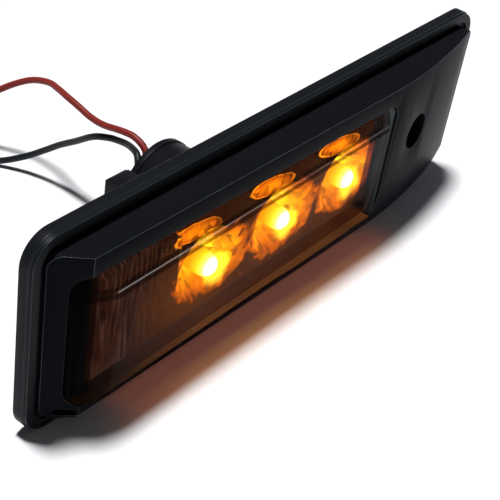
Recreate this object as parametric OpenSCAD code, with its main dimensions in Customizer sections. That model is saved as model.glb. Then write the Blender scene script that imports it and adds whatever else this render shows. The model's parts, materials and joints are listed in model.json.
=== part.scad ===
// Side repeater lamp for a car's front wing: a black moulded bezel with a smoked lens that wraps
// round its left end, three round lamps in a moulded reflector, a rubber panel gasket, a rear
// housing and a round wire holder with two short leads.
// +X runs along the lamp, +Z is up and the lens faces -Y. The origin is the middle of the gasket's
// back face, where the lamp meets the body panel.

/* [Gasket] */
// Length of the gasket, which is the lamp's outline on the panel
lamp_l = 140; // [136:1:160]
// Height of the gasket
lamp_h = 43; // [42:0.5:52]
// Radius of the gasket's corners
gasket_r = 6; // [5:0.5:9]
// Width of the rubber lip that shows round the bezel
lip_w = 3.4; // [2.8:0.1:4]
// Height of the lip over the panel
lip_t = 3; // [2.6:0.1:3.6]
// Thickness of the rubber under the bezel's edge
pad_t = 1.2; // [0.8:0.1:1.6]
// Width of the rubber under the bezel's edge
pad_w = 3.6; // [2.6:0.1:4]

/* [Bezel] */
// How far the face stands out of the panel at its left end
face_left = 8.2; // [7.8:0.1:9]
// How far the face would stand out where it starts to sweep back
face_right = 9.7; // [9.2:0.1:10.2]
// Place along the lamp where the face starts to sweep back
sweep_x = 24; // [18:1:30]
// Radius of the sweep at the right end
sweep_r = 165; // [150:1:220]
// Length along the lamp that the slanted left end takes up
slant_run = 5.6; // [4.6:0.1:6.6]
// Lean of the bezel's top and bottom sides, per millimetre of height
side_lean = 0.08; // [0.04:0.01:0.12]
// Height of the lower strip of the face, which leans back
tuck_h = 4.1; // [3.6:0.1:5]
// Lean of that lower strip in degrees
tuck = 12; // [6:1:14]
// Wall of the bezel
bezel_wall = 1.6; // [1.4:0.1:2]
// Diameter of the recess for the screw's head
head_d = 8.6; // [7.6:0.1:9.6]
// Diameter of the hole for the screw's shank
shank_d = 5.3; // [4.5:0.1:5.5]
// Distance from the screw's axis to the bezel's right end
hole_inset = 24.6; // [22:0.1:26]
// Height of the screw's axis over the lamp's middle
hole_z = 1.8; // [0:0.1:3]

/* [Lens] */
// How far the lens stands out of the panel
lens_out = 10; // [9.8:0.1:10.8]
// Wall of the lens
lens_wall = 1.5; // [1.2:0.1:1.8]
// Distance from the window's right edge to the bezel's right end
window_right = 36.6; // [35:0.2:42]
// Distance from the window's left edge to the bezel's left end
window_left = 2.8; // [2.4:0.1:3.4]
// Height of the bezel's strip over the window
strip_top = 4.3; // [3.8:0.1:5]
// Height of the bezel's strip under the window
strip_bottom = 2.7; // [2.6:0.1:3.4]
// Length along the lamp that the lens's slanted left end takes up
lens_slant = 7.5; // [6.8:0.1:9]
// Radius of the window's lower right corner
corner_r = 6.5; // [4:0.5:8]
// Height of the lens's sloping top band
band_h = 4.4; // [3.4:0.1:5.4]

/* [Lights] */
// Distance from the window's left edge to the first light
light_first = 37.8; // [35:0.2:40]
// Distance from the last light to the window's right edge
light_last = 10; // [9.6:0.1:12]
// Inner radius of a reflector bowl at its rim
bowl_r = 8.2; // [7:0.1:8.6]
// Height of the lights' row over the lamp's middle
light_z = -3; // [-3.5:0.1:-2]
// Thickness of the circuit board
board_t = 1.6; // [1:0.1:2]

/* [Rear] */
// Depth of the rear housing behind the panel
tub_d = 8; // [7.5:0.1:10]
// Height of the rear housing behind the panel
tub_h = 22; // [21.6:0.1:23]
// Wall of the rear housing
tub_wall = 1.6; // [1.4:0.1:2]
// Outer radius of the collar that takes the wire holder
collar_r = 9.8; // [9.4:0.1:11]
// Length of the collar behind the housing
collar_l = 10; // [8:0.1:12]
// Place of the collar along the lamp
collar_x = -13; // [-16:0.5:-8]
// Thickness of the wire holder's flange
flange_t = 1.5; // [1:0.1:2.5]
// Diameter of a wire over its sheath
wire_d = 1.5; // [1.3:0.1:1.8]

/* [Hidden] */
$fn = 48;

clear = 0.15;
over = 1;

bezel_l = lamp_l - 2 * lip_w;
bezel_h = lamp_h - 2 * lip_w;
bezel_r = gasket_r - lip_w;
left_x = -bezel_l / 2;
right_x = bezel_l / 2;
hole_x = right_x - hole_inset;

crease_z = -bezel_h / 2 + tuck_h;
face_left_x = left_x + slant_run;
face_tilt = atan((face_right - face_left) / (sweep_x - face_left_x));

win_x0 = left_x + window_left;
win_x1 = right_x - window_right;
win_z0 = -bezel_h / 2 + strip_bottom;
win_z1 = bezel_h / 2 - strip_top;
win_r = 3.4;

flange_y = -6.6;
flange_lens_t = 1.2;
seal_t = 0.8;
seal_front = flange_y + flange_lens_t;
rim_y = seal_front + seal_t;
rim_t = 2;
rim_x0 = left_x + 5.8;
rim_x1 = win_x1 + 10;
rim_h = bezel_h - 2 * bezel_wall - 0.6;
seal_w = 1.8;
lens_flange_x0 = rim_x0 + 0.8;
lens_flange_x1 = win_x1 + 3.4;

light_n = 3;
light_x = win_x0 + light_first;
light_pitch = (win_x1 - light_last - light_x) / (light_n - 1);
tub_gap = 0.5;
tub_x0 = rim_x0 + 6.8;
tub_x1 = win_x1 + 4;
tub_z0 = -bezel_h / 2 + pad_w + tub_gap;
tub_z1 = tub_z0 + tub_h;
tub_z = (tub_z0 + tub_z1) / 2;
tub_r = 3;
tub_floor = tub_d - tub_wall;
opening_top = max(bezel_h / 2 - pad_w, tub_z1 + tub_gap);
post_l = 3.3;
dome_l = 6.5;
board_y = tub_floor - post_l - board_t;
board_x0 = tub_x0 + tub_wall + 6.4;
board_x1 = tub_x1 - tub_wall - 2.4;
board_h = tub_h - 2 * tub_wall - 2;
board_screw_x = [board_x0 + 5, light_x + 1.5 * light_pitch];
holder_y = tub_d + collar_l;
holder_r = collar_r - 2.2;
seal_y = holder_y + flange_t + 1.2;

lip_step = 0.8;
lip_low = 1.2;
boss_r = shank_d / 2 + 3.4;
housing_screw_x = win_x1 + 6.6;
housing_screw_z = [-rim_h / 2 + 5.2, rim_h / 2 - 3.2];
flute_r = 0.9;
flute_pitch = 1.35;
plate_t = 0.7;
plate_h = rim_h - 2 * seal_w - 1.2;
plate_x0 = lens_flange_x0 + seal_w + 0.5;
plate_x1 = lens_flange_x1 - seal_w - 0.5;

// Route of each wire from the seal to its terminal, in millimetres
red_route = [[-11.5, 20.7, -3], [-11.2, 22.6, -2.3], [-9.6, 25.5, 0.6], [-9.3, 28.5, 1.8], [-9.4, 31, 1.9],
    [-9.6, 34, 1.5], [-9.1, 38, 0.4], [-8.8, 42, 0.3], [-8.4, 46, 0.9], [-7.9, 50, 1.3], [-6.6, 54, 0.9],
    [-5.6, 58, 0.3], [-5.6, 64, -2], [-8, 70.5, -6.5], [-12, 76, -12.3], [-16, 81, -17.5], [-22, 84, -20.4],
    [-29, 84, -20.7], [-35, 84, -20.2], [-38, 84, -19.5], [-40, 84, -19.5]];
black_route = [[-14.5, 20.7, -3], [-14.3, 22.6, -2.3], [-12.2, 25.2, 0.2], [-10.6, 28, 0], [-9.2, 31, -0.9],
    [-8.5, 34, -1.8], [-8.7, 36.5, -2.3], [-9.6, 40, -3.4], [-9.3, 45, -7.1], [-9.1, 50, -10.7],
    [-9.5, 54, -13.9], [-11, 59, -17.6], [-14, 64.5, -20.3], [-18, 69.5, -20.7], [-24, 73, -20.7],
    [-31, 74, -20.7], [-36, 74, -20], [-38, 74, -19.5], [-40, 74, -19.5]];

// Unit vector along a
function unit(a) = a / norm(a);

// Vector turned a quarter to the left
function turned(a) = [-a.y, a.x];

// Convex outline, listed anticlockwise, moved inwards by d on every side
function inset(pts, d) = [
    for (k = [0 : len(pts) - 1])
        let (
            n = len(pts),
            before = unit(pts[k] - pts[(k + n - 1) % n]),
            after = unit(pts[(k + 1) % n] - pts[k])
        )
        pts[k] + d * (turned(before) + turned(after)) / (1 + before * after)
];

// Point of the slanted left end at a distance out of the panel
function slant_x(out) = left_x + (out - lip_t) * slant_run / (face_left - lip_t);

// Plan of the bezel's block, seen from above, with its back edge at rear
function bezel_plan(rear) = [
    [right_x, rear],
    [left_x, rear],
    [left_x, -lip_t],
    [face_left_x, -face_left],
    [right_x, -face_left - (right_x - face_left_x) * tan(face_tilt)]
];

// Section of the bezel's block, across the lamp
function bezel_section(rear) = [
    [rear, bezel_h / 2],
    [-lip_t, bezel_h / 2],
    [-lip_t - 10, bezel_h / 2 - 10 * side_lean],
    [-lip_t - 10, -bezel_h / 2 + 10 * side_lean],
    [-lip_t, -bezel_h / 2],
    [rear, -bezel_h / 2]
];

module upright(points) linear_extrude(height = lamp_h + 20, center = true) polygon(points);

module lengthways(points)
    rotate([90, 0, 90]) linear_extrude(height = lamp_l + 40, center = true) polygon(points);

// Plate of the flat shape that follows, lying across Y from y0 to y1
module across(y0, y1) translate([0, y1, 0]) rotate([90, 0, 0]) linear_extrude(y1 - y0) children();

// Cylinder along Y from y0 to y1
module rod(x, z, r, y0, y1) translate([x, y1, z]) rotate([90, 0, 0]) cylinder(h = y1 - y0, r = r);

module rounded(x0, x1, z0, z1, r) {
    translate([x0 + r, z0]) square([x1 - x0 - 2 * r, z1 - z0]);
    translate([x0, z0 + r]) square([x1 - x0, z1 - z0 - 2 * r]);
    for (x = [x0 + r, x1 - r], z = [z0 + r, z1 - r]) translate([x, z]) circle(r);
}

// What the sweep takes off the face at the right end, for a surface that lies d inside it and whose
// lower strip leans back by lean degrees
module sweep_cut(d, lean)
    translate([sweep_x, -face_right]) rotate([0, 0, -face_tilt]) difference() {
        translate([0, -30, -lamp_h]) cube([lamp_l, 60, 2 * lamp_h]);
        translate([0, sweep_r, 0]) rotate_extrude($fn = 360) polygon([
            [0, -lamp_h - over],
            [sweep_r - d - (lamp_h + over + crease_z) * tan(lean), -lamp_h - over],
            [sweep_r - d, crease_z],
            [sweep_r - d, lamp_h + over],
            [0, lamp_h + over]
        ]);
    }

// What the leaning lower strip takes off the straight part of the face
module tuck_cut()
    translate([sweep_x, -face_right]) rotate([0, 0, -face_tilt]) translate([-lamp_l, 0, 0])
        rotate([90, 0, 90]) linear_extrude(lamp_l) polygon([
            [-5, crease_z],
            [0, crease_z],
            [2 * tuck_h * tan(tuck), crease_z - 2 * tuck_h],
            [-5, crease_z - 2 * tuck_h]
        ]);

// Bezel's outer form, d inside its surface, with its back edge at rear
module bezel_block(d, rear)
    difference() {
        intersection() {
            upright(inset(bezel_plan(rear + d), d));
            lengthways(inset(bezel_section(rear + d), d));
            across(-30, 10)
                rounded(left_x + d, right_x - d, -bezel_h / 2 + d, bezel_h / 2 - d, bezel_r - d * 0.6);
        }
        sweep_cut(d, 0);
    }

// Bezel's outer form with the lower strip of its face leaning back
module bezel_outer()
    difference() {
        bezel_block(0, -pad_t);
        tuck_cut();
        sweep_cut(0, tuck);
    }

// Window's flat outline, d inside its edge
module window_outline(d)
    intersection() {
        rounded(win_x0 + d, win_x1 - d, win_z0 + d, win_z1 - d, win_r - d);
        rounded(win_x0 - 2 * corner_r, win_x1 - d, win_z0 + d, win_z1 + 2 * corner_r, corner_r - d);
    }

module window() across(-30, seal_front) window_outline(0);

module bezel() color("#191b20") {
    difference() {
        union() {
            difference() {
                bezel_outer();
                bezel_block(bezel_wall, 5);
            }
            intersection() {
                bezel_block(bezel_wall / 2, -pad_t);
                union() {
                    rod(hole_x, hole_z, boss_r, -20, 0);
                    for (z = housing_screw_z) rod(housing_screw_x, z, 2.6, -20, rim_y);
                    for (k = [0 : 2])
                        translate([hole_x + 9 + 6 * k, -20, -bezel_h / 2]) cube([1.2, 20, bezel_h]);
                }
            }
            rod(hole_x, hole_z, boss_r, -pad_t - over, 0);
        }
        window();
        rod(hole_x, hole_z, head_d / 2, -20, -lip_t);
        rod(hole_x, hole_z, shank_d / 2, -20, over);
        for (z = housing_screw_z) rod(housing_screw_x, z, 0.9, rim_y - 3, rim_y + over);
        translate([slant_x(4.6), -20, -bezel_h / 2 + 0.8]) cube([3.4, 20 - 3.8, strip_bottom - 1.3]);
    }
}

// Plan of the lens's outer form
function lens_plan() = [
    [win_x1 - clear, rim_y],
    [win_x0 + clear, rim_y],
    [win_x0 + clear, -lip_t - window_left * (face_left - lip_t) / slant_run - 0.4],
    [win_x0 + lens_slant, -lens_out],
    [win_x1 - clear - 2.6, -lens_out],
    [win_x1 - clear, -lens_out + 0.9]
];

// Section of the lens's outer form
function lens_section() = [
    [rim_y, win_z1 - clear],
    [-face_left - 0.2, win_z1 - clear],
    [-lens_out, win_z1 - band_h],
    [-lens_out, win_z0 + 1.2],
    [-face_left - 0.4, win_z0 + clear],
    [rim_y, win_z0 + clear]
];

module lens_body(d)
    intersection() {
        upright(inset(lens_plan(), d));
        lengthways(inset(lens_section(), d));
        across(-30, 10) window_outline(clear + d);
    }

module lens() color("#4a3a34", 0.6) {
    difference() {
        union() {
            intersection() {
                lens_body(0);
                translate([-lamp_l, -30, -lamp_h]) cube([2 * lamp_l, 30 + seal_front, 2 * lamp_h]);
            }
            across(flange_y, seal_front)
                rounded(lens_flange_x0, lens_flange_x1, -rim_h / 2 + 0.2, rim_h / 2 - 0.2, 1);
        }
        intersection() {
            lens_body(lens_wall);
            translate([-lamp_l, -30, -lamp_h]) cube([2 * lamp_l, 30 + flange_y, 2 * lamp_h]);
        }
        across(flange_y - over, 0)
            intersection() {
                window_outline(clear + lens_wall);
                translate([lens_flange_x0 + 2.2, -lamp_h]) square([lamp_l, 2 * lamp_h]);
            }
    }
}

module lens_seal() color("#2a2c2f")
    across(seal_front, rim_y) difference() {
        rounded(lens_flange_x0 + 0.2, lens_flange_x1 - 0.2, -rim_h / 2 + 0.4, rim_h / 2 - 0.4, 1);
        rounded(lens_flange_x0 + 0.2 + seal_w, lens_flange_x1 - 0.2 - seal_w, -rim_h / 2 + 0.4 + seal_w,
            rim_h / 2 - 0.4 - seal_w, 0.6);
    }

function light_at(k) = light_x + k * light_pitch;

// Solid of a bowl, wider by extra than its inside
module bowl(x, extra)
    translate([x, rim_y, light_z]) rotate([-90, 0, 0]) rotate_extrude() polygon([
        [0, -plate_t],
        [bowl_r + extra, -plate_t],
        [bowl_r * 0.86 + extra, 0.4],
        [bowl_r * 0.66 + extra, 2.8],
        [bowl_r * 0.44 + extra, board_y - rim_y - 0.2],
        [0, board_y - rim_y - 0.2]
    ]);

// Room for the reflector, between the lens seal and inside the rear housing
module reflector_room() {
    across(rim_y - 3, rim_y) rounded(plate_x0, plate_x1, -plate_h / 2, plate_h / 2, 1);
    across(rim_y - over, board_y) tub_outline(tub_wall + 0.3);
}

module reflector() color("#b08a70")
    intersection() {
        difference() {
            union() {
                across(rim_y - plate_t, rim_y) rounded(plate_x0, plate_x1, -plate_h / 2, plate_h / 2, 1);
                for (k = [0 : light_n - 1]) bowl(light_at(k), 0.9);
                for (x = [light_x - bowl_r - 2 : -flute_pitch : plate_x0 + 1.4])
                    translate([x, rim_y - flute_r - 0.05, (win_z0 + win_z1) / 2])
                        cylinder(h = plate_h - 8 + 4 * sin((light_x - x) * 9 - 92), r = flute_r,
                            center = true);
            }
            for (k = [0 : light_n - 1]) bowl(light_at(k), 0);
            for (k = [0 : light_n - 1]) rod(light_at(k), light_z, 3.1, board_y - 3.5, board_y + over);
            for (x = board_screw_x) rod(x, light_z, 2.6, board_y - 2, board_y + over);
        }
        reflector_room();
    }

// Flat outline of the rear housing, d inside its surface
module tub_outline(d) rounded(tub_x0 + d, tub_x1 - d, tub_z0 + d, tub_z1 - d, tub_r - d * 0.6);

module rear_housing() color("#17191c") {
    difference() {
        union() {
            across(rim_y, rim_y + rim_t) rounded(rim_x0, rim_x1, -rim_h / 2, rim_h / 2, 1);
            across(rim_y, tub_d) tub_outline(0);
            rod(collar_x, light_z, collar_r, tub_d - over, holder_y);
            lug();
        }
        across(rim_y - over, tub_floor) tub_outline(tub_wall);
        rod(collar_x, light_z, holder_r + clear, tub_floor - over, holder_y + over);
        rod(collar_x, light_z, holder_r + 1.6, holder_y - 2, holder_y + over);
        for (z = housing_screw_z) rod(housing_screw_x, z, 1.4, rim_y - over, rim_y + rim_t + over);
        rod(hole_x, hole_z, boss_r + 0.4, rim_y - over, rim_y + rim_t + over);
    }
    for (x = board_screw_x) difference() {
        rod(x, light_z, 2.4, board_y + board_t, tub_floor + 0.5);
        rod(x, light_z, 0.9, board_y + board_t - over, tub_floor - 0.4);
    }
}

// Hook that goes behind the panel's edge
module lug() {
    lug_w = 5.5;
    lug_end = holder_y - 2.6;
    translate([collar_x - 20, 0, tub_z1]) rotate([90, 0, 90]) linear_extrude(lug_w)
        polygon([[0, 0], [0, -6], [tub_d, -6], [lug_end, -3.6], [lug_end, 0.5], [lug_end - 1, 1], [0, 1]]);
}

// Self-tapping screw along Y with its head on the side of the lower y
module screw(x, z, head_y, length, r, turn)
    translate([x, head_y, z]) rotate([turn, 0, 0]) {
        translate([0, 0, -1.3]) difference() {
            cylinder(h = 1.3, r = 2 * r + 0.3);
            translate([0, 0, -over]) cylinder(h = over + 0.7, r = r, $fn = 6);
        }
        cylinder(h = length, r = r);
    }

module housing_screws() color("#8d9196")
    for (z = housing_screw_z) screw(housing_screw_x, z, rim_y + rim_t, rim_t + 2.6, 0.9, 90);

module board_screws() color("#8d9196")
    for (x = board_screw_x) screw(x, light_z, board_y, board_t + 2.4, 0.9, -90);

module led_board() color("#2f5a3a")
    difference() {
        across(board_y, board_y + board_t)
            rounded(board_x0, board_x1, tub_z - board_h / 2, tub_z + board_h / 2, 1);
        for (x = board_screw_x) rod(x, light_z, 1.2, board_y - over, board_y + board_t + over);
        for (k = [0 : light_n - 1], s = [-1, 1])
            rod(light_at(k) + s * 1.27, light_z, 0.5, board_y - over, board_y + board_t + over);
    }

module led(k) {
    r = 2.5;
    x = light_at(k);
    rod(x, light_z, r + 0.4, board_y - 1, board_y);
    rod(x, light_z, r, board_y - dome_l, board_y);
    translate([x, board_y - dome_l, light_z]) sphere(r);
    for (s = [-1, 1]) rod(x + s * 1.27, light_z, 0.3, board_y - over, board_y + board_t + 0.8);
}

module led_left() color("#ff9a1a") led(0);
module led_middle() color("#ff9a1a") led(1);
module led_right() color("#ff9a1a") led(2);

module chip(x, z, l, h, t) translate([x - l / 2, board_y + board_t, z - h / 2]) cube([l, t, h]);

module resistors() color("#202020")
    for (k = [0 : light_n - 1]) chip(light_at(k) + 4.1, tub_z - board_h / 2 + 2.4, 6.3, 3.2, 0.7);

module polarity_diode() color("#202020") {
    chip(collar_x + 14, tub_z + board_h / 2 - 2.9, 4.4, 2.7, 2);
    chip(collar_x + 14, tub_z + board_h / 2 - 2.9, 5.4, 1.5, 0.4);
}

module wedge_base() color("#d8d4c8")
    translate([collar_x - 4.8, board_y + board_t, light_z - 1.2]) {
        cube([9.6, holder_y - 4 - board_y - board_t, 2.4]);
        translate([-0.8, 0, -1.4]) cube([11.2, 2.2, 5.2]);
    }

module bulb_holder() color("#1b1d22")
    difference() {
        union() {
            rod(collar_x, light_z, holder_r, tub_floor - 1, holder_y + 0.5);
            rod(collar_x, light_z, collar_r + 0.2, holder_y, holder_y + flange_t);
        }
        translate([collar_x - 5.1, 0, light_z - 1.8]) cube([10.2, holder_y - 3.6, 3.6]);
        translate([collar_x - 5.9, 0, light_z - 2.9]) cube([11.8, board_y + board_t + 2.5, 5.8]);
        rod(collar_x, light_z, 3.6, holder_y + flange_t - 2.6, holder_y + flange_t + over);
        for (s = [-1, 1]) translate([collar_x + s * 3 - 1.3, holder_y - 5, light_z + 1]) cube([2.6, 6, 0.8]);
    }

module holder_seal() color("#35373b")
    translate([collar_x, holder_y - 0.8, light_z]) rotate([90, 0, 0])
        rotate_extrude() translate([holder_r + 0.8, 0]) circle(0.8);

module contact(side)
    translate([collar_x + side * 3 - 1.1, tub_floor, light_z + 1.2])
        cube([2.2, holder_y - tub_floor - 1.1, 0.5]);

module contact_positive() color("#c79a4a") contact(-1);
module contact_negative() color("#c79a4a") contact(1);

module wire_seal() color("#2a2c2f") rod(collar_x, light_z, 3.6, holder_y + flange_t - 2.6, seal_y);

// Point at t of the way from b to c, on a smooth curve through a, b, c and d
function between(a, b, c, d, t) = 0.5 * (2 * b + (c - a) * t + (2 * a - 5 * b + 4 * c - d) * t * t
    + (3 * b - a - 3 * c + d) * t * t * t);

// Route with one more point on each of its stretches
function smoothed(p) = [
    for (k = [0 : len(p) - 2], t = [0, 0.5])
        between(p[max(k - 1, 0)], p[k], p[k + 1], p[min(k + 2, len(p) - 1)], t),
    p[len(p) - 1]
];

// Tube along points that leaves its seal along +Y and enters its terminal along -X
module tube(points, d, sides = 8) {
    n = len(points);
    rings = [
        for (k = [0 : n - 1])
            let (
                ahead = k == 0 ? [0, 1, 0] : k == n - 1 ? [-1, 0, 0] : unit(points[k + 1] - points[k - 1]),
                side = unit(cross(ahead, [0, 0, 1])),
                up = cross(side, ahead)
            )
            for (s = [0 : sides - 1])
                points[k] + d / 2 * (cos(s * 360 / sides) * side + sin(s * 360 / sides) * up)
    ];
    polyhedron(
        points = rings,
        faces = [
            [for (s = [0 : sides - 1]) s],
            for (k = [0 : n - 2], s = [0 : sides - 1])
                [k * sides + s, (k + 1) * sides + s, (k + 1) * sides + (s + 1) % sides,
                    k * sides + (s + 1) % sides],
            [for (s = [sides - 1 : -1 : 0]) (n - 1) * sides + s]
        ]
    );
}

module wire_red() color("#8c3530") tube(smoothed(red_route), wire_d);
module wire_black() color("#1a1c20") tube(smoothed(black_route), wire_d);

// Brass crimp terminal at the end of a wire, with its round nose along -X
module terminal(route) {
    end = route[len(route) - 1];
    translate(end) rotate([0, -90, 0]) {
        cylinder(h = 8, r = 1.1);
        translate([0, 0, 8]) cylinder(h = 5, r = 1.6);
        translate([0, 0, 13]) sphere(1.6);
        translate([0, 0, 7]) cylinder(h = 0.8, r = 2);
    }
}

module sleeve(route) {
    end = route[len(route) - 1];
    translate(end) rotate([0, -90, 0]) difference() {
        translate([0, 0, -2]) cylinder(h = 9, r = 1.9);
        translate([0, 0, -3]) cylinder(h = 3, r = wire_d / 2 + 0.1);
        translate([0, 0, -0.01]) cylinder(h = 10, r = 1.15);
    }
}

module terminal_red() color("#c79a4a") terminal(red_route);
module terminal_black() color("#c79a4a") terminal(black_route);
module sleeve_red() color("#a03a34") sleeve(red_route);
module sleeve_black() color("#202226") sleeve(black_route);

// Outline of the gasket's lip on the panel, d inside its edge
module lip_outline(d)
    rounded(-lamp_l / 2 + d, lamp_l / 2 - d, -lamp_h / 2 + d, lamp_h / 2 - d, gasket_r - d);

module panel_gasket() color("#1d2023")
    difference() {
        union() {
            across(-lip_t + lip_step, 0) lip_outline(0);
            across(-lip_t, -lip_t + lip_step) lip_outline(0.3);
        }
        across(-lip_t - over, -lip_t + lip_step)
            rounded(left_x - lip_low, right_x + lip_low, -bezel_h / 2 - lip_low, bezel_h / 2 + lip_low,
                bezel_r + lip_low);
        across(-lip_t - over, -pad_t) rounded(left_x, right_x, -bezel_h / 2, bezel_h / 2, bezel_r);
        across(-lip_t - over, over)
            rounded(left_x + pad_w, right_x - pad_w, tub_z0 - tub_gap, opening_top, 2);
    }

panel_gasket();
bezel();
lens();
lens_seal();
reflector();
rear_housing();
housing_screws();
led_board();
board_screws();
led_left();
led_middle();
led_right();
resistors();
polarity_diode();
wedge_base();
bulb_holder();
holder_seal();
contact_positive();
contact_negative();
wire_seal();
wire_red();
wire_black();
terminal_red();
terminal_black();
sleeve_red();
sleeve_black();
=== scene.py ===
"""Looks, stage and camera for the side repeater lamp. Metres, in the part's own frame."""

import json
import math

import bmesh
import bpy
from mathutils import Matrix, Quaternion, Vector

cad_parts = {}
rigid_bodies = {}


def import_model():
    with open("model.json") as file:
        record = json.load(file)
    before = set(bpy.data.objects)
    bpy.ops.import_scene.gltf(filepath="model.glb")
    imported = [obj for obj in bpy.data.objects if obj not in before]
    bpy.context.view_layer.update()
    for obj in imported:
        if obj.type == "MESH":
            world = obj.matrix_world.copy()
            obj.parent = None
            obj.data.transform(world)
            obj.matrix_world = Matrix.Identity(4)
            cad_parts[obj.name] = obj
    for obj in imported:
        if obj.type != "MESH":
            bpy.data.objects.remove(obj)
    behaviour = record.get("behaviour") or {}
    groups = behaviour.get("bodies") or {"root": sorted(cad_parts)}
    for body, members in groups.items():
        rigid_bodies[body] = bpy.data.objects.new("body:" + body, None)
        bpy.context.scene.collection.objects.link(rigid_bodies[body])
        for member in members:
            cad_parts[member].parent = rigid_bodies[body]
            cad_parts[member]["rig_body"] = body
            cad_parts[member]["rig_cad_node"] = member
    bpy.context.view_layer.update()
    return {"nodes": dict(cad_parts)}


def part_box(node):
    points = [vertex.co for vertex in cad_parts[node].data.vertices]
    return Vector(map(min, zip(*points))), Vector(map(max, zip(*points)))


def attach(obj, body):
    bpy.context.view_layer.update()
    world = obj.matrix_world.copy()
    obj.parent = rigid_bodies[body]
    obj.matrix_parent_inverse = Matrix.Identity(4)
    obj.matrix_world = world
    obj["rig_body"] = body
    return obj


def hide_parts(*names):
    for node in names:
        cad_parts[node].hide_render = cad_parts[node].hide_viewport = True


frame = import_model()
PARTS = frame["nodes"]

bl_info = {
    "name": "Side repeater lamp",
    "version": (1, 0, 0),
    "blender": (4, 5, 0),
    "location": "View3D > Sidebar > Lamp",
    "description": "Finishes, leads and lights of a car's side repeater lamp",
    "category": "Object",
}

MM = 0.001

# Middle lines of the leads in millimetres, as in the part's own source
RED_ROUTE = [
    (-11.5, 20.7, -3), (-11.2, 22.6, -2.3), (-9.6, 25.5, 0.6), (-9.3, 28.5, 1.8), (-9.4, 31, 1.9),
    (-9.6, 34, 1.5), (-9.1, 38, 0.4), (-8.8, 42, 0.3), (-8.4, 46, 0.9), (-7.9, 50, 1.3),
    (-6.6, 54, 0.9), (-5.6, 58, 0.3), (-5.6, 64, -2), (-8, 70.5, -6.5), (-12, 76, -12.3),
    (-16, 81, -17.5), (-22, 84, -20.4), (-29, 84, -20.7), (-35, 84, -20.2), (-38, 84, -19.5),
    (-40, 84, -19.5),
]
BLACK_ROUTE = [
    (-14.5, 20.7, -3), (-14.3, 22.6, -2.3), (-12.2, 25.2, 0.2), (-10.6, 28, 0), (-9.2, 31, -0.9),
    (-8.5, 34, -1.8), (-8.7, 36.5, -2.3), (-9.6, 40, -3.4), (-9.3, 45, -7.1), (-9.1, 50, -10.7),
    (-9.5, 54, -13.9), (-11, 59, -17.6), (-14, 64.5, -20.3), (-18, 69.5, -20.7),
    (-24, 73, -20.7), (-31, 74, -20.7), (-36, 74, -20), (-38, 74, -19.5), (-40, 74, -19.5),
]

# Lens, places of its painted light and shade: drop from its box's top to the crease, Z inside its
# lower wall, X where its bevel starts
CREASE_DROP = 6.6 * MM
LOWER_WALL_Z = -13.8 * MM
BEVEL_X = 27.8 * MM

# Bowls' painted light: its shift from a diode's tip, the distances where it starts to fade and
# ends, and what a distance along X counts beside one along Z
BOWL_SHIFT = Vector((1.8, 0, -0.6)) * MM
BOWL_START, BOWL_END = 3 * MM, 10.5 * MM
BOWL_SPREAD = 0.66

# Painted second image of a bowl: place from the diode's tip, half its length and height, and its
# slope
IMAGE_SHIFT = Vector((-4.1, 0, 9.7)) * MM
IMAGE_HALF_L, IMAGE_HALF_H = 9.3 * MM, 2.5 * MM
IMAGE_SLOPE = 0.135

# Shift along X and Z for each metre of depth, as seen from the upper left
SLANT_X, SLANT_Z = -1.571, 1.361

# Floor: its height and half its side
FLOOR_Z = -21.5 * MM
FLOOR_HALF = 3.0


class LampLooks(bpy.types.PropertyGroup):
    """Colours and light of the lamp itself"""

    body: bpy.props.FloatVectorProperty(
        name="Body", description="Colour of the moulded bezel", subtype="COLOR_GAMMA",
        size=3, min=0, max=1, default=(0.074, 0.079, 0.094))
    smoke: bpy.props.FloatVectorProperty(
        name="Smoke", description="Tint of the lens", subtype="COLOR_GAMMA",
        size=3, min=0, max=1, default=(0.73, 0.64, 0.60))
    amber: bpy.props.FloatVectorProperty(
        name="Amber", description="Colour of the lit diodes behind the lens", subtype="COLOR_GAMMA",
        size=3, min=0, max=1, default=(1.0, 0.78, 0.0))
    # Also the strength of the light painted on the reflector
    glow: bpy.props.FloatProperty(
        name="Glow", description="Strength of the lit diodes", default=5.2, min=0, max=100)
    edge: bpy.props.FloatProperty(
        name="Edge", description="Radius of the bezel's moulded edges", default=0.6 * MM,
        min=0.05 * MM, max=2 * MM, unit="LENGTH", subtype="DISTANCE")


class LampLeads(bpy.types.PropertyGroup):
    """Size of the leads"""

    diameter: bpy.props.FloatProperty(
        name="Diameter", description="Diameter of a lead over its sheath", default=1.5 * MM,
        min=1 * MM, max=3 * MM, unit="LENGTH", subtype="DISTANCE")
    sides: bpy.props.IntProperty(
        name="Sides", description="Sides of the drawn sheath", default=16, min=6, max=48)


class LampStage(bpy.types.PropertyGroup):
    """Floor and studio light"""

    floor: bpy.props.FloatVectorProperty(
        name="Floor", description="Colour of the floor", subtype="COLOR_GAMMA",
        size=3, min=0, max=1, default=(0.93, 0.93, 0.94))
    light: bpy.props.FloatProperty(
        name="Light", description="Strength of the studio lights", default=1.0, min=0, max=10)


# Materials


def linear(colour):
    """Linear colour of an sRGB one, given as a hex word or three numbers from 0 to 1."""
    if isinstance(colour, str):
        colour = [int(colour[k:k + 2], 16) / 255 for k in (1, 3, 5)]
    return tuple(c / 12.92 if c <= 0.04045 else ((c + 0.055) / 1.055) ** 2.4
                 for c in colour) + (1.0,)


def per(size):
    """Texture scale whose features are about size millimetres across."""
    return 1000 / size


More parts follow.
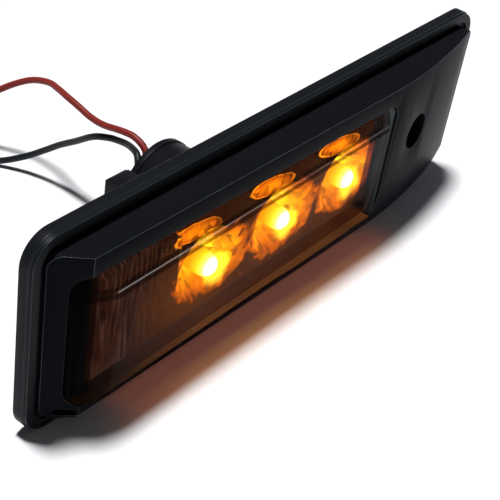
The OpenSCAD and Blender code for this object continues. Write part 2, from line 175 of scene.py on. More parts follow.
def add(tree, kind, feeds=None, stops=(), **settings):
    """Adds a node: settings set its options or inputs, feeds give inputs a socket or a value, and
    stops are a colour ramp's places and colours in rising order."""
    made = tree.nodes.new(kind)
    for key, value in settings.items():
        if hasattr(made, key):
            setattr(made, key, value)
        else:
            made.inputs[key.replace("_", " ")].default_value = value
    for key, source in (feeds or {}).items():
        if isinstance(source, bpy.types.NodeSocket):
            tree.links.new(source, made.inputs[key])
        else:
            made.inputs[key].default_value = source
    for k, (place, colour) in enumerate(stops):
        elements = made.color_ramp.elements
        stop = elements[k] if k < 2 else elements.new(place)
        stop.position, stop.color = place, colour
    return made


def material(name):
    """New material with an empty tree, and its output node."""
    made = bpy.data.materials.new(name)
    made.use_nodes = True
    made.node_tree.nodes.clear()
    return made, made.node_tree, made.node_tree.nodes.new("ShaderNodeOutputMaterial")


def plastic(name, colour, rough, grain=0.0, grain_size=0.4, mottle=0.12, **more):
    """Moulded plastic or rubber: one colour that drifts a little, uneven gloss and a fine grain."""
    made, tree, out = material(name)
    where = add(tree, "ShaderNodeTexCoord").outputs["Object"]
    # Colour and gloss drift over about 14 mm, as the melt's flow leaves them
    cloud = add(tree, "ShaderNodeTexNoise", {"Vector": where}, Scale=per(14.286), Detail=3.0)
    shade = add(tree, "ShaderNodeMapRange", {"Value": cloud.outputs["Fac"]},
                To_Min=1 - mottle, To_Max=1 + mottle)
    tint = add(tree, "ShaderNodeVectorMath",
               {0: linear(colour)[:3], "Scale": shade.outputs["Result"]}, operation="SCALE")
    gloss = add(tree, "ShaderNodeMapRange", {"Value": cloud.outputs["Fac"]},
                To_Min=rough * 0.9, To_Max=rough * 1.1)
    # A mould's real grain is too fine to show here, so it is drawn a few tenths of a millimetre wide
    speck = add(tree, "ShaderNodeTexNoise", {"Vector": where}, Scale=per(grain_size), Detail=2.0)
    bump = add(tree, "ShaderNodeBump", {"Height": speck.outputs["Fac"]},
               Strength=grain, Distance=0.2 * MM)
    body = add(tree, "ShaderNodeBsdfPrincipled", {
        "Base Color": tint.outputs["Vector"], "Roughness": gloss.outputs["Result"],
        "Normal": bump.outputs["Normal"]}, **more)
    tree.links.new(body.outputs["BSDF"], out.inputs["Surface"])
    return made


def metal(name, colour, rough):
    """Plated or bare metal, its gloss uneven over a few millimetres from plating and handling."""
    made, tree, out = material(name)
    where = add(tree, "ShaderNodeTexCoord").outputs["Object"]
    cloud = add(tree, "ShaderNodeTexNoise", {"Vector": where}, Scale=per(2.5), Detail=3.0)
    gloss = add(tree, "ShaderNodeMapRange", {"Value": cloud.outputs["Fac"]},
                To_Min=rough * 0.8, To_Max=rough * 1.2)
    body = add(tree, "ShaderNodeBsdfPrincipled", {"Roughness": gloss.outputs["Result"]},
               Base_Color=linear(colour), Metallic=1.0)
    tree.links.new(body.outputs["BSDF"], out.inputs["Surface"])
    return made


def glossy_pane(tree, side, colour):
    """Tinted see-through pane with a gloss on its outer face only."""
    tint = add(tree, "ShaderNodeBsdfTransparent", Color=linear(colour))
    # Weaker than polycarbonate's own gloss, which would veil the diodes with the white floor
    shine = add(tree, "ShaderNodeBsdfGlossy", Roughness=0.08, Color=linear("#656c71"))
    glance = add(tree, "ShaderNodeFresnel", IOR=1.2)
    outside = add(tree, "ShaderNodeMath", {0: side.outputs["Backfacing"], 1: 0.5},
                  operation="LESS_THAN")
    share = add(tree, "ShaderNodeMath",
                {0: glance.outputs["Fac"], 1: outside.outputs["Value"]}, operation="MULTIPLY")
    pane = add(tree, "ShaderNodeMixShader", {
        0: share.outputs["Value"], 1: tint.outputs["BSDF"], 2: shine.outputs["BSDF"]})
    return pane.outputs["Shader"]


def with_painted_crease(tree, where, pane, crease):
    """Pane with a painted highlight along the moulded edge at the crease, a hairline of pale colour
    strongest at the left, and a painted shade 1 mm below it, a black stripe."""
    away = add(tree, "ShaderNodeVectorMath", {0: where, 1: crease}, operation="SUBTRACT")
    across = add(tree, "ShaderNodeVectorMath", {0: away.outputs["Vector"], 1: (0, 1, 1)},
                 operation="MULTIPLY")
    gap = add(tree, "ShaderNodeVectorMath", {0: across.outputs["Vector"]}, operation="LENGTH")
    # Painted highlight: a hairline of pale colour along the crease, fading towards the right
    crease_highlight_paint = add(tree, "ShaderNodeMapRange", {"Value": gap.outputs["Value"]},
                 From_Min=0.05 * MM, From_Max=0.21 * MM, To_Min=0.6, To_Max=0.0)
    offset = add(tree, "ShaderNodeSeparateXYZ", {"Vector": away.outputs["Vector"]})
    thins = add(tree, "ShaderNodeMapRange", {"Value": offset.outputs["X"]},
                From_Min=-40 * MM, From_Max=-5 * MM, To_Min=1.0, To_Max=0.25)
    line = add(tree, "ShaderNodeMath",
               {0: crease_highlight_paint.outputs["Result"], 1: thins.outputs["Result"]}, operation="MULTIPLY")
    pale = add(tree, "ShaderNodeBsdfDiffuse", Color=linear("#bcc0c2"))
    with_painted_highlight = add(tree, "ShaderNodeMixShader",
                {0: line.outputs["Value"], 1: pane, 2: pale.outputs["BSDF"]})
    # Painted shade: a black stripe 1 mm below the crease
    below = add(tree, "ShaderNodeMath", {0: offset.outputs["Z"], 1: 1 * MM}, operation="ADD")
    far = add(tree, "ShaderNodeMath", {0: below.outputs["Value"]}, operation="ABSOLUTE")
    dark = add(tree, "ShaderNodeMapRange", {"Value": far.outputs["Value"]},
               From_Min=0.3 * MM, From_Max=0.8 * MM, To_Min=0.72, To_Max=0.0)
    black = add(tree, "ShaderNodeBsdfDiffuse", Color=linear("#0b0a0b"))
    with_painted_stripe = add(tree, "ShaderNodeMixShader", {
        0: dark.outputs["Result"], 1: with_painted_highlight.outputs["Shader"], 2: black.outputs["BSDF"]})
    return with_painted_stripe.outputs["Shader"]


def with_painted_wall_glow(tree, where, side, pane, wall_z):
    """Pane whose lower wall, where it faces up inside, has painted light: a brown, cloudy emission
    that stands in for the amber light it takes in, weaker towards the left end."""
    place = add(tree, "ShaderNodeSeparateXYZ", {"Vector": where})
    low = add(tree, "ShaderNodeMapRange", {"Value": place.outputs["Z"]},
              From_Min=wall_z + 0.4 * MM, From_Max=wall_z + 1.2 * MM, To_Min=1.0, To_Max=0.0)
    facing = add(tree, "ShaderNodeSeparateXYZ", {"Vector": side.outputs["Normal"]})
    upward = add(tree, "ShaderNodeMath", {0: facing.outputs["Z"], 1: 0.8},
                 operation="GREATER_THAN")
    lower = add(tree, "ShaderNodeMath",
                {0: low.outputs["Result"], 1: upward.outputs["Value"]}, operation="MULTIPLY")
    cloud = add(tree, "ShaderNodeTexNoise", {"Vector": where}, Scale=per(11.111), Detail=3.0)
    shade = add(tree, "ShaderNodeMapRange", {"Value": cloud.outputs["Fac"]},
                To_Min=0.35, To_Max=1.1)
    fade = add(tree, "ShaderNodeMapRange", {"Value": place.outputs["X"]},
               From_Min=-56 * MM, From_Max=-28 * MM, To_Min=0.05, To_Max=1.0)
    painted_glow_strength = add(tree, "ShaderNodeMath",
                {0: shade.outputs["Result"], 1: fade.outputs["Result"]}, operation="MULTIPLY")
    # Painted light: brown emission in place of the amber light the wall takes in
    brown = add(tree, "ShaderNodeEmission", {"Strength": painted_glow_strength.outputs["Value"]},
                Color=linear("#95653c"))
    whole = add(tree, "ShaderNodeMixShader",
                {0: lower.outputs["Value"], 1: pane, 2: brown.outputs["Emission"]})
    return whole.outputs["Shader"]


def with_painted_bevel_light(tree, where, pane, start_x):
    """Pane with painted light on its bevelled right edge: a grey emission for the daylight it
    gathers.
    """
    place = add(tree, "ShaderNodeSeparateXYZ", {"Vector": where})
    right = add(tree, "ShaderNodeMapRange", {"Value": place.outputs["X"]},
                From_Min=start_x - 0.5 * MM, From_Max=start_x)
    # Painted light: grey emission along the bevel
    bevel = add(tree, "ShaderNodeEmission", {"Strength": right.outputs["Result"]},
                Color=linear("#2d3436"))
    both = add(tree, "ShaderNodeAddShader", {0: pane, 1: bevel.outputs["Emission"]})
    return both.outputs["Shader"]


def smoked(name, colour, crease):
    """Moulded polycarbonate with a smoke dye: a brown pane with painted light and shade in its thick
    edges.
    """
    made, tree, out = material(name)
    where = add(tree, "ShaderNodeTexCoord").outputs["Object"]
    side = add(tree, "ShaderNodeNewGeometry")
    pane = glossy_pane(tree, side, colour)
    pane = with_painted_crease(tree, where, pane, crease)
    pane = with_painted_wall_glow(tree, where, side, pane, LOWER_WALL_Z)
    pane = with_painted_bevel_light(tree, where, pane, BEVEL_X)
    tree.links.new(pane, out.inputs["Surface"])
    return made


# Light behind the lens is given in linear numbers that may pass 1 and lean to green, because the
# lens's two faces keep about a quarter of the red, a seventh of the green and a tenth of the blue


def lit(name, colour, strength, tip):
    """Clear epoxy dome of a lit diode: white hot at its tip, then yellow, amber down its sides."""
    made, tree, out = material(name)
    where = add(tree, "ShaderNodeTexCoord").outputs["Object"]
    away = add(tree, "ShaderNodeVectorMath", {0: where, 1: tip}, operation="DISTANCE")
    near = add(tree, "ShaderNodeMapRange", {"Value": away.outputs["Value"]},
               From_Min=0.4 * MM, From_Max=5 * MM)
    ramp = add(tree, "ShaderNodeValToRGB", {"Fac": near.outputs["Result"]}, stops=(
        (0.30, (3.6, 5.2, 3.0, 1)), (0.48, (2.0, 2.6, 0.40, 1)), (0.64, (1.2, 1.35, 0.03, 1)),
        (0.82, (1.05, 0.9, 0.01, 1)), (1.0, linear(colour))))
    glow = add(tree, "ShaderNodeEmission", {"Color": ramp.outputs["Color"]}, Strength=strength)
    tree.links.new(glow.outputs["Emission"], out.inputs["Surface"])
    return made


def closest(tree, where, centres, wide, tall):
    """Distance to the closest centre in a plane; wide and tall are what X, Y and Z count along
    the plane's two directions."""
    least = None
    for centre in centres:
        off = add(tree, "ShaderNodeVectorMath", {0: where, 1: centre}, operation="SUBTRACT")
        across = add(tree, "ShaderNodeVectorMath", {0: off.outputs["Vector"], 1: wide},
                     operation="DOT_PRODUCT")
        up = add(tree, "ShaderNodeVectorMath", {0: off.outputs["Vector"], 1: tall},
                 operation="DOT_PRODUCT")
        flat = add(tree, "ShaderNodeCombineXYZ",
                   {"X": across.outputs["Value"], "Y": up.outputs["Value"]})
        reach = add(tree, "ShaderNodeVectorMath", {0: flat.outputs["Vector"]},
                    operation="LENGTH").outputs["Value"]
        least = reach if least is None else add(
            tree, "ShaderNodeMath", {0: least, 1: reach}, operation="MINIMUM").outputs["Value"]
    return least


def painted_bowl_light(tree, wave, facets, nearest, amber):
    """Painted light that fills a bowl, yellow in the middle and orange at its wavy edge."""
    wavy = add(tree, "ShaderNodeMath", {0: wave, 1: 4.5 * MM, 2: nearest},
               operation="MULTIPLY_ADD")
    inside = add(tree, "ShaderNodeMapRange", {"Value": wavy.outputs["Value"]},
                 From_Min=BOWL_START, From_Max=BOWL_END)
    ramp = add(tree, "ShaderNodeValToRGB", {"Fac": inside.outputs["Result"]}, stops=(
        (0.0, (1.7, 1.8, 0.05, 1)), (0.22, (1.25, 1.0, 0.01, 1)), (0.42, linear(amber)),
        (0.66, (0.75, 0.28, 0.0, 1)), (0.90, (0.34, 0.10, 0.0, 1)),
        (1.0, (0.012, 0.005, 0.002, 1))))
    return add(tree, "ShaderNodeVectorMath", {0: ramp.outputs["Color"], "Scale": facets},
               operation="SCALE")


def painted_second_images(tree, where, along, wave, facets, lamps):
    """Painted reflection: a second, flatter image of each bowl that the lens's sloping band throws
    on the plate above it, an oval with a bright rim, brighter at its left."""
    centres = [lamp + IMAGE_SHIFT for lamp in lamps]
    oval = closest(tree, where, centres, (1 / IMAGE_HALF_L, 0, 0),
                   (IMAGE_SLOPE / IMAGE_HALF_H, 0, 1 / IMAGE_HALF_H))
    ragged = add(tree, "ShaderNodeMath", {0: wave, 1: 0.25, 2: oval}, operation="MULTIPLY_ADD")
    ramp = add(tree, "ShaderNodeValToRGB", {"Fac": ragged.outputs["Value"]}, stops=(
        (0.35, (0.95, 0.40, 0.0, 1)), (0.70, (0.55, 0.17, 0.0, 1)),
        (0.85, (0.30, 0.09, 0.0, 1)), (0.91, (1.0, 0.44, 0.01, 1)), (0.99, (0.0, 0.0, 0.0, 1))))
    pitch = lamps[1].x - lamps[0].x
    offset = add(tree, "ShaderNodeMath", {0: along.outputs["X"], 1: centres[0].x},
                 operation="SUBTRACT")
    within = add(tree, "ShaderNodeMath",
                 {0: offset.outputs["Value"], 1: pitch / 2, 2: -pitch / 2}, operation="WRAP")
    lean = add(tree, "ShaderNodeMapRange", {"Value": within.outputs["Value"]},
               From_Min=-IMAGE_HALF_L, From_Max=IMAGE_HALF_L, To_Min=1.5, To_Max=0.35)
    patchy = add(tree, "ShaderNodeMath", {0: facets, 1: lean.outputs["Result"]},
                 operation="MULTIPLY")
    return add(tree, "ShaderNodeVectorMath",
               {0: ramp.outputs["Color"], "Scale": patchy.outputs["Value"]}, operation="SCALE")


def painted_bloom(tree, where, wave, lamps):
    """Painted glow: ragged yellow light on the bowl right behind each dome, as seen from the upper
    left.
    """
    ring = closest(tree, where, lamps, (1, SLANT_X, 0), (0, SLANT_Z, 1))
    frayed = add(tree, "ShaderNodeMath", {0: wave, 1: 3.5 * MM, 2: ring},
                 operation="MULTIPLY_ADD")
    flare = add(tree, "ShaderNodeMapRange", {"Value": frayed.outputs["Value"]},
                From_Min=3.6 * MM, From_Max=6.2 * MM, To_Min=1.0, To_Max=0.0)
    return add(tree, "ShaderNodeVectorMath",
               {0: (1.3, 1.6, 0.10), "Scale": flare.outputs["Result"]}, operation="SCALE")


def streaks(tree, where):
    """Upright streaks of painted light half a millimetre wide, as light piped along the flutes would
    draw them.
    """
    stretched = add(tree, "ShaderNodeVectorMath", {0: where, 1: (1, 0, 0.05)},
                    operation="MULTIPLY")
    noise = add(tree, "ShaderNodeTexNoise", {"Vector": stretched.outputs["Vector"]},
                Scale=per(0.4762), Detail=3.0)
    return add(tree, "ShaderNodeMapRange", {"Value": noise.outputs["Fac"]},
               From_Min=0.46, From_Max=0.68, To_Min=0.08, To_Max=1.0).outputs["Result"]


def share_outside_painted_shade(tree, along, first):
    """Share of the light on the plate outside a painted shade, which stands in for the lens's edge
    in the way above the bowls; there is none at the fluted end, which gets all of it."""
    upper = add(tree, "ShaderNodeMapRange", {"Value": along.outputs["Z"]},
                From_Min=first.z + 6.2 * MM, From_Max=first.z + 7.6 * MM, To_Max=0.75)
    inner = add(tree, "ShaderNodeMapRange", {"Value": along.outputs["X"]},
                From_Min=first.x - 12 * MM, From_Max=first.x)
    painted_lens_shade = add(tree, "ShaderNodeMath",
                 {0: upper.outputs["Result"], 1: inner.outputs["Result"]}, operation="MULTIPLY")
    return add(tree, "ShaderNodeMath", {0: 1.0, 1: painted_lens_shade.outputs["Value"]},
               operation="SUBTRACT").outputs["Value"]


def lit_film(name, film, amber, strength, lamps):
    """Metallised plastic round lit diodes: a warm mirror with the diodes' light painted on it as
    emission, amber in its bowls.
    """
    made, tree, out = material(name)
    where = add(tree, "ShaderNodeTexCoord").outputs["Object"]
    along = add(tree, "ShaderNodeSeparateXYZ", {"Vector": where})
    first = lamps[0]
    # Waves of 3 mm and facets of 1.6 mm break the painted light up, as the bowls' moulding would
    wave = add(tree, "ShaderNodeTexNoise", {"Vector": where},
               Scale=per(3.125), Detail=2.0).outputs["Fac"]
    cells = add(tree, "ShaderNodeTexVoronoi", {"Vector": where}, Scale=per(1.5625))
    facets = add(tree, "ShaderNodeMapRange", {"Value": cells.outputs["Color"]},
                 To_Min=0.2, To_Max=1.75).outputs["Result"]
    nearest = closest(tree, where, [lamp + BOWL_SHIFT for lamp in lamps],
                      (BOWL_SPREAD, 0, 0), (0, 0, 1))
    painted_streak = streaks(tree, where)
    unshaded_share = share_outside_painted_shade(tree, along, first)
    # Painted light: brown glow piped along the fluted end
    fluted = add(tree, "ShaderNodeMapRange", {"Value": along.outputs["X"]},
                 From_Min=first.x - 22 * MM, From_Max=first.x - 10 * MM, To_Min=1.0, To_Max=0.12)
    piped = add(tree, "ShaderNodeMath", {0: painted_streak, 1: fluted.outputs["Result"]},
                operation="MULTIPLY")
    brown = add(tree, "ShaderNodeVectorMath",
                {0: linear("#36312d")[:3], "Scale": piped.outputs["Value"]}, operation="SCALE")
    # Painted light: a dim glow that reaches past the bowls
    halo = add(tree, "ShaderNodeMapRange", {"Value": nearest},
               From_Min=6 * MM, From_Max=16 * MM, To_Min=1.0, To_Max=0.0)
    reached = add(tree, "ShaderNodeMath", {0: halo.outputs["Result"], 1: unshaded_share},
                  operation="MULTIPLY")
    painted_halo_glow = add(tree, "ShaderNodeVectorMath",
                {0: linear("#4b3207")[:3], "Scale": reached.outputs["Value"]}, operation="SCALE")
    # Painted glints on pips of half a millimetre, about 7 mm apart
    pips = add(tree, "ShaderNodeTexVoronoi", {"Vector": where}, Scale=per(6.6667))
    glint_spots = add(tree, "ShaderNodeMapRange", {"Value": pips.outputs["Distance"]},
                From_Min=0.03, From_Max=0.055, To_Min=1.0, To_Max=0.0)
    painted_glints = add(tree, "ShaderNodeVectorMath",
                  {0: linear("#da9545")[:3], "Scale": glint_spots.outputs["Result"]}, operation="SCALE")
    total = painted_bowl_light(tree, wave, facets, nearest, amber)
    for light in (painted_halo_glow, brown, painted_second_images(tree, where, along, wave, facets, lamps),
                  painted_bloom(tree, where, wave, lamps), painted_glints):
        total = add(tree, "ShaderNodeVectorMath",
                    {0: total.outputs["Vector"], 1: light.outputs["Vector"]}, operation="ADD")
    # The film's colour is darker at the fluted end save for its painted streaks, darker under the
    # painted shade above the bowls, and darker near the bowls under their painted glow
    dull = add(tree, "ShaderNodeMapRange", {"Value": along.outputs["X"]},
               From_Min=first.x - 16 * MM, From_Max=first.x - 9 * MM, To_Min=0.22, To_Max=1.0)
    level = add(tree, "ShaderNodeMath", {0: painted_streak, 1: dull.outputs["Result"]},
                operation="MAXIMUM")
    dimmed_near_bowls = add(tree, "ShaderNodeMapRange", {"Value": nearest},
                  From_Min=6 * MM, From_Max=15 * MM, To_Min=0.05, To_Max=1.0)
    for share in (unshaded_share, dimmed_near_bowls.outputs["Result"]):
        level = add(tree, "ShaderNodeMath", {0: level.outputs["Value"], 1: share},
                    operation="MULTIPLY")
    tint = add(tree, "ShaderNodeVectorMath",
               {0: linear(film)[:3], "Scale": level.outputs["Value"]}, operation="SCALE")
    body = add(tree, "ShaderNodeBsdfPrincipled", {
        "Emission Color": total.outputs["Vector"], "Base Color": tint.outputs["Vector"]},
        Metallic=1.0, Roughness=0.22, Emission_Strength=strength)
    tree.links.new(body.outputs["BSDF"], out.inputs["Surface"])
    return made


# Pieces


def finish_nodes(names, finish, angle=None):
    """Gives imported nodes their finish, with smooth faces where an angle is given, and leaves
    their meshes' shapes alone."""
    for name in names:
        mesh = PARTS[name].data
        mesh.materials.clear()
        mesh.materials.append(finish)
        if angle:
            smooth(mesh, angle)


def softened(node, name, finish, width, segments=3, angle=28, edge=None):
    """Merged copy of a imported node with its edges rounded, which stands for the node; the rounded
    edges may have a finish of their own."""
    copy = PARTS[node].copy()
    copy.data = PARTS[node].data.copy()
    copy.name = name
    copy.parent = None
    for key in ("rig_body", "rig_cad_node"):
        if key in copy:
            del copy[key]
    bpy.context.scene.collection.objects.link(copy)
    work = bmesh.new()
    work.from_mesh(copy.data)
    bmesh.ops.remove_doubles(work, verts=work.verts, dist=0.01 * MM)
    bmesh.ops.dissolve_limit(work, angle_limit=math.radians(1), verts=work.verts,
                             edges=work.edges)
    work.to_mesh(copy.data)
    work.free()
    copy.data.materials.clear()
    copy.data.materials.append(finish)
    round_off = copy.modifiers.new("edges", "BEVEL")
    if edge:
        copy.data.materials.append(edge)
        round_off.material = 1
    round_off.width = width
    round_off.segments = segments
    round_off.limit_method = "ANGLE"
    round_off.angle_limit = math.radians(angle)
    round_off.use_clamp_overlap = True
    bake(copy)
    smooth(copy.data, 32)
    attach(copy, "root")
    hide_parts(node)
    return copy


def bake(made):
    """Puts the modifiers' result into the mesh."""
    bpy.context.view_layer.update()
    seen = made.evaluated_get(bpy.context.evaluated_depsgraph_get())
    mesh = bpy.data.meshes.new_from_object(seen)
    made.modifiers.clear()
    made.data = mesh
    made.data.name = made.name


def smooth(mesh, angle):
    """Smooth faces, with sharp edges where two meet at more than the angle in degrees."""
    mesh.shade_smooth()
    mesh.set_sharp_from_angle(angle=math.radians(angle))


def lead_tree(finish):
    """Geometry nodes that sweep a round sheath along a lead's middle line."""
    tree = bpy.data.node_groups.new("lead sheath", "GeometryNodeTree")
    face = tree.interface
    face.new_socket("Geometry", in_out="INPUT", socket_type="NodeSocketGeometry")
    face.new_socket("Radius", in_out="INPUT", socket_type="NodeSocketFloat")
    face.new_socket("Sides", in_out="INPUT", socket_type="NodeSocketInt")
    face.new_socket("Geometry", in_out="OUTPUT", socket_type="NodeSocketGeometry")
    given = add(tree, "NodeGroupInput")
    ring = add(tree, "GeometryNodeCurvePrimitiveCircle",
               {"Radius": given.outputs["Radius"], "Resolution": given.outputs["Sides"]})
    sheath = add(tree, "GeometryNodeCurveToMesh", {
        "Curve": given.outputs["Geometry"], "Profile Curve": ring.outputs["Curve"],
        "Fill Caps": True})
    even = add(tree, "GeometryNodeSetShadeSmooth", {"Geometry": sheath.outputs["Mesh"]})
    real = add(tree, "GeometryNodeRealizeInstances", {"Geometry": even.outputs["Geometry"]})
    dressed = add(tree, "GeometryNodeSetMaterial",
                  {"Geometry": real.outputs["Geometry"], "Material": finish})
    add(tree, "NodeGroupOutput", {"Geometry": dressed.outputs["Geometry"]})
    return tree


def middle_line(route, parts=4):
    """Points in metres of the smooth curve through a route, parts of them to a stretch."""
    points = [Vector(p) * MM for p in route]
    line = []
    for k in range(len(points) - 1):
        a, b = points[max(k - 1, 0)], points[k]
        c, d = points[k + 1], points[min(k + 2, len(points) - 1)]
        for step in range(parts):
            t = step / parts
            line.append(0.5 * (2 * b + (c - a) * t + (2 * a - 5 * b + 4 * c - d) * t * t
                               + (3 * b - a - 3 * c + d) * t ** 3))
    return line + [points[-1]]


def lead(name, route, node, finish, leads):
    """One lead: a sheath swept along its middle line, which stands for the node."""
    line = middle_line(route)
    curve = bpy.data.curves.new(name, "CURVE")
    curve.dimensions = "3D"
    spline = curve.splines.new("POLY")
    spline.points.add(len(line) - 1)
    for point, place in zip(spline.points, line):
        point.co = (*place, 1)
    source = bpy.data.objects.new(name + " line", curve)
    bpy.context.scene.collection.objects.link(source)
    sweep = source.modifiers.new("sheath", "NODES")
    sweep.node_group = lead_tree(finish)
    sockets = {s.name: s.identifier for s in sweep.node_group.interface.items_tree
               if s.item_type == "SOCKET" and s.in_out == "INPUT"}
    sweep[sockets["Radius"]] = leads.diameter / 2
    sweep[sockets["Sides"]] = leads.sides
    bpy.context.view_layer.update()
    seen = source.evaluated_get(bpy.context.evaluated_depsgraph_get())
    mesh = bpy.data.meshes.new_from_object(seen)
    bpy.data.objects.remove(source)
    sheath = bpy.data.objects.new(name, mesh)
    bpy.context.scene.collection.objects.link(sheath)
    mesh.materials.clear()
    mesh.materials.append(finish)
    smooth(mesh, 50)
    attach(sheath, "root")
    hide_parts(node)
    return sheath


# Stage


def lay_floor(colour):
    """Large plain floor under the lamp."""
    corners = [(x * FLOOR_HALF, y * FLOOR_HALF, FLOOR_Z)
               for x, y in ((-1, -1), (1, -1), (1, 1), (-1, 1))]
    mesh = bpy.data.meshes.new("floor")
    mesh.from_pydata(corners, [], [(0, 1, 2, 3)])
    # Satin white paint, rolled on: all but even, with a soft shine
    mesh.materials.append(plastic("rolled satin paint", colour, 0.35, mottle=0.01))
    floor = bpy.data.objects.new("floor", mesh)
    bpy.context.scene.collection.objects.link(floor)


def light_room(strength):
    """Pale low walls behind the floor, and a dim room above them that leaves glossy tops dark."""
    world = bpy.data.worlds.new("studio")
    world.use_nodes = True
    bpy.context.scene.world = world
    sky = world.node_tree
    aim = add(sky, "ShaderNodeTexCoord")
    height = add(sky, "ShaderNodeSeparateXYZ", {"Vector": aim.outputs["Generated"]})
    wall, dim, ceiling = (0.5, 0.505, 0.515, 1), (0.005, 0.005, 0.006, 1), (0.04, 0.04, 0.045, 1)
    room = add(sky, "ShaderNodeValToRGB", {"Fac": height.outputs["Z"]},
               stops=((0.14, wall), (0.26, dim), (0.6, dim), (0.95, ceiling)))
    sky.links.new(room.outputs["Color"], sky.nodes["Background"].inputs["Color"])
    sky.nodes["Background"].inputs["Strength"].default_value = strength


def towards_lamp(place):
    """Turn of a light at a place that looks at the lamp."""
    return (-Vector(place)).to_track_quat("-Z", "Y")


def add_light(kind, name, power, turn, place=(0, 0, 0), size=None, colour=(1, 1, 1)):
    """Light of a kind, with its size along and across where it is a panel."""
    lamp = bpy.data.lights.new(name, kind)
    lamp.energy = power
    lamp.color = colour
    if size:
        lamp.shape = "RECTANGLE"
        lamp.size, lamp.size_y = size
    made = bpy.data.objects.new(name, lamp)
    made.location = place
    made.rotation_mode = "QUATERNION"
    made.rotation_quaternion = turn
    bpy.context.scene.collection.objects.link(made)
    return lamp


def place_camera():
    """Camera above the lamp's left end, looking down along it."""
    eye = bpy.data.cameras.new("camera")
    eye.lens = 92.06
    eye.sensor_width = 36
    eye.clip_start = 0.01
    camera = bpy.data.objects.new("camera", eye)
    right, up, back = (0.6146, -0.7764, 0.1392), (0.3977, 0.4574, 0.7954), (-0.6812, -0.4335, 0.5899)
    place = (-0.18516, -0.11591, 0.14351)
    rows = [[right[k], up[k], back[k], place[k]] for k in range(3)]
    camera.matrix_world = Matrix(rows + [[0, 0, 0, 1]])
    bpy.context.scene.collection.objects.link(camera)
    bpy.context.scene.camera = camera


# Operators


class LAMP_OT_bezel(bpy.types.Operator):
    """Bezel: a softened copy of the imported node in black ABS"""

    bl_idname = "lamp.bezel"
    bl_label = "Bezel"

    def execute(self, context):
        looks = context.scene.lamp_looks
        # Moulded ABS with a fine grain: dark and even, with hardly any shine on its flat sides; its
        # shine is tinted blue, a painted cool sheen
        black = plastic("moulded ABS", tuple(looks.body), 0.30, grain=0.12, mottle=0.10,
                        Specular_IOR_Level=0.01, Specular_Tint=linear("#d4f1ff"))
        # Its edges leave the mould smoother than its sides and are painted pale grey, a painted
        # highlight that draws thin grey lines
        edge_with_painted_highlight = plastic("ABS edge with painted highlight", "#6c727a", 0.25, mottle=0.3, Specular_IOR_Level=0.5)
        softened("bezel", "bezel_shell", black, looks.edge,
                 edge=edge_with_painted_highlight)
        return {"FINISHED"}


class LAMP_OT_gasket(bpy.types.Operator):
    """Panel gasket and the smaller rubber seals"""

    bl_idname = "lamp.gasket"
    bl_label = "Gasket and seals"

    def execute(self, context):
        # Moulded EPDM rubber: near black, and duller than the bezel
        rubber = plastic("moulded EPDM rubber", "#15171a", 0.42, grain=0.2, grain_size=0.6667,
                         Specular_IOR_Level=0.06)
        # Its rims leave the mould smoother and shine a little, and are painted a lighter blue-grey
        # as a highlight
        rim = plastic("EPDM rim with painted highlight", "#1c2126", 0.36, mottle=0.3, Specular_IOR_Level=0.24)
        softened("panel_gasket", "gasket_lip", rubber, 0.4 * MM, segments=4,
                 angle=40, edge=rim)
        finish_nodes(("lens_seal", "holder_seal", "wire_seal"), rubber)
        return {"FINISHED"}


class LAMP_OT_lens(bpy.types.Operator):
    """Smoked lens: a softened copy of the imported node"""

    bl_idname = "lamp.lens"
    bl_label = "Lens"

    def execute(self, context):
        looks = context.scene.lamp_looks
        low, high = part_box("lens")
        crease = (0, low[1], high[2] - CREASE_DROP)
        pane = smoked("smoked polycarbonate with painted light", tuple(looks.smoke), crease)
        softened("lens", "lens_pane", pane, 0.5 * MM, angle=20)
        return {"FINISHED"}


class LAMP_OT_lights(bpy.types.Operator):
    """Reflector, diodes and the circuit board behind them"""

    bl_idname = "lamp.lights"
    bl_label = "Lights"

    def execute(self, context):
        looks = context.scene.lamp_looks
        amber = tuple(looks.amber)
        tips = []
        for name in ("led_left", "led_middle", "led_right"):
            low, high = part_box(name)
            tips.append(Vector(((low[0] + high[0]) / 2, low[1], (low[2] + high[2]) / 2)))
            finish_nodes((name,), lit("cast epoxy " + name, amber, looks.glow, tips[-1]), 40)
        # Plastic with a vapour-coated film: a mirror that is warmer than bare aluminium, with
        # painted light on it
        film = lit_film("metallised plastic with painted glow", "#7d675a", amber, looks.glow, tips)
        finish_nodes(("reflector",), film, 30)
        # Glass-epoxy board under a green mask, dull black chips and a cream nylon base
        finish_nodes(("led_board",), plastic("masked glass epoxy", "#22503a", 0.35))
        finish_nodes(("resistors", "polarity_diode"), plastic("moulded epoxy", "#202020", 0.45))
        finish_nodes(("wedge_base",), plastic("moulded cream nylon", "#d8d0b8", 0.45))
        # Stamped brass: yellow, with a soft shine
        brass = metal("stamped brass", "#c79a4a", 0.3)
        finish_nodes(("contact_positive", "contact_negative", "terminal_red", "terminal_black"),
                     brass, 40)
        return {"FINISHED"}


class LAMP_OT_rear(bpy.types.Operator):
    """Rear housing, wire holder and screws"""

    bl_idname = "lamp.rear"
    bl_label = "Rear housing"

    def execute(self, context):
        # Moulded nylon as it leaves a grained mould: dull black
        black = plastic("moulded black nylon", "#121317", 0.42, grain=0.2, Specular_IOR_Level=0.06)
        softened("rear_housing", "housing_shell", black, 0.4 * MM)
        softened("bulb_holder", "holder_body", black, 0.3 * MM)
        # Zinc plating on steel: pale grey with a soft shine
        finish_nodes(("housing_screws", "board_screws"),
                     metal("zinc-plated steel", "#a8abb0", 0.32))
        return {"FINISHED"}


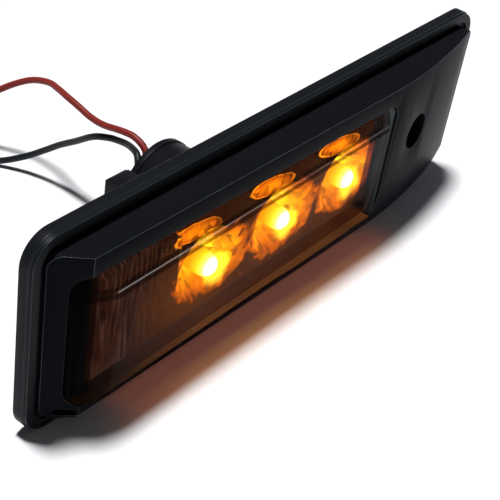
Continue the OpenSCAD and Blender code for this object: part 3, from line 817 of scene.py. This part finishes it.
class LAMP_OT_leads(bpy.types.Operator):
    """Red and black leads with their sleeves"""

    bl_idname = "lamp.leads"
    bl_label = "Leads"

    def execute(self, context):
        leads = context.scene.lamp_leads
        # Extruded soft vinyl: even colour with a waxy shine
        red = plastic("extruded red vinyl", "#7a241d", 0.42, grain=0.05, mottle=0.06,
                      Specular_IOR_Level=0.2)
        black = plastic("extruded black vinyl", "#14191c", 0.42, grain=0.05, mottle=0.06,
                        Specular_IOR_Level=0.2)
        finish_nodes(("sleeve_red",), red, 40)
        finish_nodes(("sleeve_black",), black, 40)
        lead("red_lead", RED_ROUTE, "wire_red", red, leads)
        lead("black_lead", BLACK_ROUTE, "wire_black", black, leads)
        return {"FINISHED"}


class LAMP_OT_stage(bpy.types.Operator):
    """Floor, studio lights and camera"""

    bl_idname = "lamp.stage"
    bl_label = "Stage"

    def execute(self, context):
        stage = context.scene.lamp_stage
        lay_floor(tuple(stage.floor))
        light_room(stage.light)
        # Even key from behind and above, which lays a short soft shade in front of the lamp
        key = add_light("SUN", "key", 4.3 * stage.light, towards_lamp((-0.02, 0.125, 0.80)))
        key.angle = math.radians(9)
        # Panels at the right for the swept end: place, size along and across, watts and colour
        for name, place, size, power, colour in (
            ("edge light", (0.545, -0.456, 0.33), (0.08, 0.08), 0.2, (0.9, 0.96, 1.0)),
            ("cool side", (0.75, -0.25, 0.20), (0.15, 0.25), 0.12, (0.66, 0.86, 1.0)),
        ):
            add_light("AREA", name, power * stage.light, towards_lamp(place), place, size, colour)
        # Light that the lit lens throws on the floor in front of it
        add_light("AREA", "amber spill", 0.00036 * stage.light,
                  Quaternion((1, 0, 0), math.radians(8)),
                  (-9 * MM, -10.8 * MM, -16.5 * MM), (84 * MM, 3 * MM), (1.0, 0.15, 0.015))
        # The same light as it gets under the lamp's front edge
        add_light("AREA", "low spill", 0.00004 * stage.light, Quaternion(),
                  (-12 * MM, -6.5 * MM, -20.1 * MM), (80 * MM, 2 * MM), (1.0, 0.20, 0.01))
        place_camera()
        # Plain display of colours, so that the amber stays deep
        context.scene.view_settings.view_transform = "Standard"
        return {"FINISHED"}


class LAMP_PT_panel(bpy.types.Panel):
    """Lists the lamp's pieces and settings"""

    bl_idname = "LAMP_PT_panel"
    bl_label = "Side repeater lamp"
    bl_space_type = "VIEW_3D"
    bl_region_type = "UI"
    bl_category = "Lamp"

    def draw(self, context):
        for group in GROUPS:
            settings = getattr(context.scene, group)
            for key in settings.__annotations__:
                self.layout.prop(settings, key)
        for step in STEPS:
            self.layout.operator(step.bl_idname)


STEPS = (LAMP_OT_bezel, LAMP_OT_gasket, LAMP_OT_lens, LAMP_OT_lights, LAMP_OT_rear, LAMP_OT_leads,
         LAMP_OT_stage)
GROUPS = {"lamp_looks": LampLooks, "lamp_leads": LampLeads, "lamp_stage": LampStage}


def register():
    for kind in (*GROUPS.values(), *STEPS, LAMP_PT_panel):
        bpy.utils.register_class(kind)
    for name, kind in GROUPS.items():
        setattr(bpy.types.Scene, name, bpy.props.PointerProperty(type=kind))


def unregister():
    for name in GROUPS:
        delattr(bpy.types.Scene, name)
    for kind in reversed((*GROUPS.values(), *STEPS, LAMP_PT_panel)):
        bpy.utils.unregister_class(kind)


def main():
    register()
    for step in STEPS:
        group, name = step.bl_idname.split(".")
        getattr(getattr(bpy.ops, group), name)()


if __name__ == "__main__":
    main()
